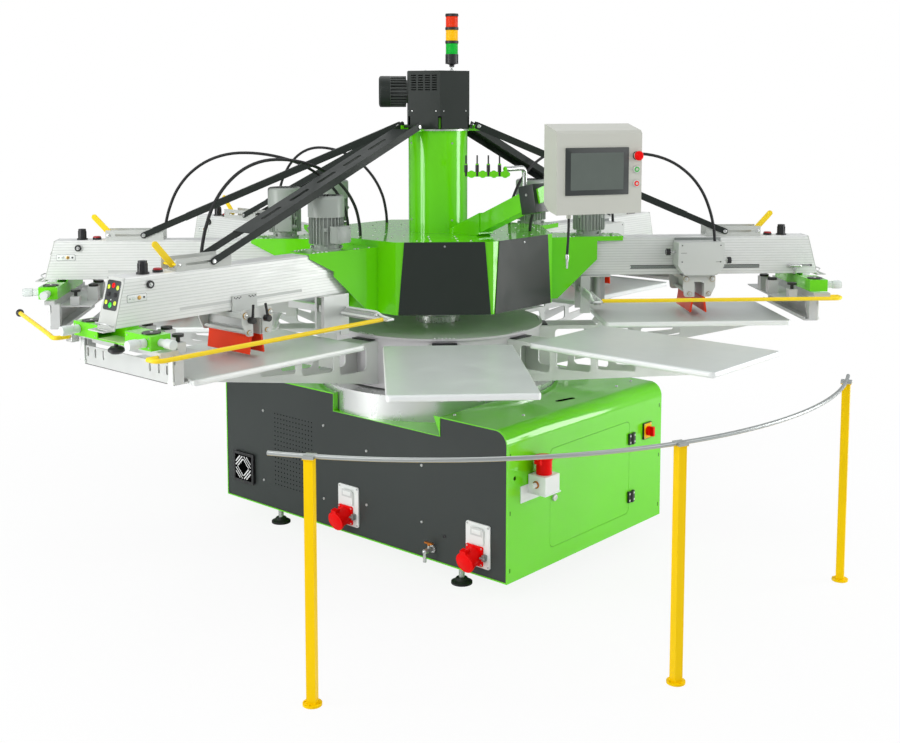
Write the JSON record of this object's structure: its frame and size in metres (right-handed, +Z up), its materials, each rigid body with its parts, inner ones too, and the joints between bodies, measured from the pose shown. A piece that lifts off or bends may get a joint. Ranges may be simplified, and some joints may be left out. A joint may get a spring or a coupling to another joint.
{
  "type": "carousel textile screen printing press",
  "caption": "Floor-standing carousel screen printing press: cabinet, lifting turntable of flat pallets, radial print heads with electric squeegee carriages, control panel and guard rail.",
  "frame": {"origin": "the carousel axis where it meets the floor", "axes": "+Z up along the carousel axis; the cabinet's dark front panel faces -Y and its door end faces +X"},
  "size_m": [3.7919, 3.792, 2.464],
  "materials": {
    "green_paint": "satin",
    "dark_paint": "matte",
    "black_paint": "satin",
    "yellow_paint": "satin",
    "motor_grey": "satin",
    "cast_grey": "satin",
    "bare_steel": "satin",
    "anodised_beam": "satin",
    "brushed_plate": "brushed",
    "pallet_face": "satin",
    "panel_paint": "satin",
    "carriage_grey": "satin",
    "gear_plastic": "matte",
    "black_plastic": "matte",
    "black_rubber": "matte",
    "hose_rubber": "matte",
    "red_plastic": "gloss",
    "green_plastic": "gloss",
    "white_plastic": "matte",
    "lens_plastic": "gloss",
    "blade_red": "satin",
    "brass_lever": "satin"
  },
  "bodies": {
    "press_frame": {"base_shell": "green_paint", "dark_panels": "dark_paint", "levelling_feet": "black_rubber", "pedestal": "bare_steel", "index_drive": "motor_grey", "control_gear": "gear_plastic", "end_fittings": "black_plastic", "hub_housing": "green_paint", "column_tube": "green_paint", "top_shroud": "dark_paint", "lift_motor": "black_paint", "light_tower": "black_plastic", "lamp_lenses": "lens_plastic", "head_brackets": "green_paint", "head_beams": "anodised_beam", "head_plates": "brushed_plate", "head_motors": "motor_grey", "tie_bars": "dark_paint", "lock_levers": "yellow_paint", "machine_knobs": "black_plastic", "stop_buttons": "red_plastic", "frame_holders": "green_paint", "registration_knobs": "white_plastic", "frame_clamps": "brushed_plate", "fan_grille": "black_plastic", "socket_boxes": "white_plastic", "socket_shells": "red_plastic", "tap_body": "bare_steel", "panel_arm": "green_paint", "tool_rack": "green_plastic", "guard_rail": "yellow_paint", "safety_bars": "yellow_paint", "hoses": "hose_rubber"},
    "lift": {"lift_sleeve": "bare_steel"},
    "carousel": {"turntable": "cast_grey", "pallet_arms": "brushed_plate", "pallets": "pallet_face"},
    "carriage_1": {"carriage_1": "carriage_grey"},
    "squeegee_1": {"squeegee_1": "blade_red"},
    "carriage_2": {"carriage_2": "carriage_grey"},
    "squeegee_2": {"squeegee_2": "blade_red"},
    "carriage_3": {"carriage_3": "carriage_grey"},
    "squeegee_3": {"squeegee_3": "blade_red"},
    "carriage_4": {"carriage_4": "carriage_grey"},
    "squeegee_4": {"squeegee_4": "blade_red"},
    "carriage_5": {"carriage_5": "carriage_grey"},
    "squeegee_5": {"squeegee_5": "blade_red"},
    "carriage_6": {"carriage_6": "carriage_grey"},
    "squeegee_6": {"squeegee_6": "blade_red"},
    "operator_panel": {"control_panel": "panel_paint", "panel_lead": "hose_rubber"},
    "emergency_button": {"emergency_button": "red_plastic"},
    "start_button": {"start_button": "green_plastic"},
    "reset_button": {"reset_button": "red_plastic"},
    "main_switch": {"switch_knob": "red_plastic"},
    "cabinet_door": {"cabinet_door": "green_paint"},
    "socket_lid_1": {"socket_lid_1": "red_plastic"},
    "socket_lid_2": {"socket_lid_2": "red_plastic"},
    "socket_lid_3": {"socket_lid_3": "red_plastic"},
    "tap_handle": {"tap_handle": "brass_lever"}
  },
  "joints": [
    {"name": "carousel_lift", "type": "slide", "parent": "press_frame", "child": "lift", "axis": [0, 0, 1], "range_m": [0, 0.008]},
    {"name": "carousel_turn", "type": "hinge", "parent": "lift", "child": "carousel", "pos_m": [0, 0, 1], "axis": [0, 0, 1], "continuous": true},
    {"name": "carriage_slide_1", "type": "slide", "parent": "press_frame", "child": "carriage_1", "axis": [0.7071, 0.7071, 0], "range_m": [-0.245, 0.245]},
    {"name": "carriage_slide_2", "type": "slide", "parent": "press_frame", "child": "carriage_2", "axis": [0, 1, 0], "range_m": [-0.245, 0.245]},
    {"name": "carriage_slide_3", "type": "slide", "parent": "press_frame", "child": "carriage_3", "axis": [-0.7071, 0.7071, 0], "range_m": [-0.245, 0.245]},
    {"name": "carriage_slide_4", "type": "slide", "parent": "press_frame", "child": "carriage_4", "axis": [-1, 0, 0], "range_m": [-0.245, 0.245]},
    {"name": "carriage_slide_5", "type": "slide", "parent": "press_frame", "child": "carriage_5", "axis": [-0.7071, -0.7071, 0], "range_m": [-0.245, 0.245]},
    {"name": "carriage_slide_6", "type": "slide", "parent": "press_frame", "child": "carriage_6", "axis": [0, -1, 0], "range_m": [-0.245, 0.245]},
    {"name": "squeegee_down_1", "type": "slide", "parent": "carriage_1", "child": "squeegee_1", "axis": [0, 0, -1], "range_m": [0, 0.008]},
    {"name": "squeegee_down_2", "type": "slide", "parent": "carriage_2", "child": "squeegee_2", "axis": [0, 0, -1], "range_m": [0, 0.008]},
    {"name": "squeegee_down_3", "type": "slide", "parent": "carriage_3", "child": "squeegee_3", "axis": [0, 0, -1], "range_m": [0, 0.008]},
    {"name": "squeegee_down_4", "type": "slide", "parent": "carriage_4", "child": "squeegee_4", "axis": [0, 0, -1], "range_m": [0, 0.008]},
    {"name": "squeegee_down_5", "type": "slide", "parent": "carriage_5", "child": "squeegee_5", "axis": [0, 0, -1], "range_m": [0, 0.008]},
    {"name": "squeegee_down_6", "type": "slide", "parent": "carriage_6", "child": "squeegee_6", "axis": [0, 0, -1], "range_m": [0, 0.008]},
    {"name": "panel_swivel", "type": "hinge", "parent": "press_frame", "child": "operator_panel", "pos_m": [0.88696, -0.07395, 1.728], "axis": [0, 0, 1], "range_deg": [-60, 60]},
    {"name": "emergency_button_press", "type": "slide", "parent": "operator_panel", "child": "emergency_button", "axis": [-0.8829, 0.4695, 0], "range_m": [0, 0.004], "stiffness_N_per_m": 900, "springref_m": -0.001},
    {"name": "start_button_press", "type": "slide", "parent": "operator_panel", "child": "start_button", "axis": [-0.8829, 0.4695, 0], "range_m": [0, 0.004], "stiffness_N_per_m": 900, "springref_m": -0.001},
    {"name": "reset_button_press", "type": "slide", "parent": "operator_panel", "child": "reset_button", "axis": [-0.8829, 0.4695, 0], "range_m": [0, 0.004], "stiffness_N_per_m": 900, "springref_m": -0.001},
    {"name": "main_switch_turn", "type": "hinge", "parent": "press_frame", "child": "main_switch", "pos_m": [0.9033, 0.454, 0.53], "axis": [1, 0, 0], "range_deg": [-90, 0]},
    {"name": "cabinet_door_hinge", "type": "hinge", "parent": "press_frame", "child": "cabinet_door", "pos_m": [0.904, 0.324, 0.382], "axis": [0, 0, 1], "range_deg": [0, 110]},
    {"name": "socket_lid_1_hinge", "type": "hinge", "parent": "press_frame", "child": "socket_lid_1", "pos_m": [-0.039, -0.64589, 0.21751], "axis": [-1, 0, 0], "range_deg": [0, 100]},
    {"name": "socket_lid_2_hinge", "type": "hinge", "parent": "press_frame", "child": "socket_lid_2", "pos_m": [0.729, -0.64589, 0.21751], "axis": [-1, 0, 0], "range_deg": [0, 100]},
    {"name": "socket_lid_3_hinge", "type": "hinge", "parent": "press_frame", "child": "socket_lid_3", "pos_m": [0.943, -0.441, 0.584], "axis": [1, 0, 0], "range_deg": [0, 100]},
    {"name": "tap_turn", "type": "hinge", "parent": "press_frame", "child": "tap_handle", "pos_m": [0.488, -0.606, 0.17], "axis": [0, 0, 1], "range_deg": [0, 90]}
  ]
}
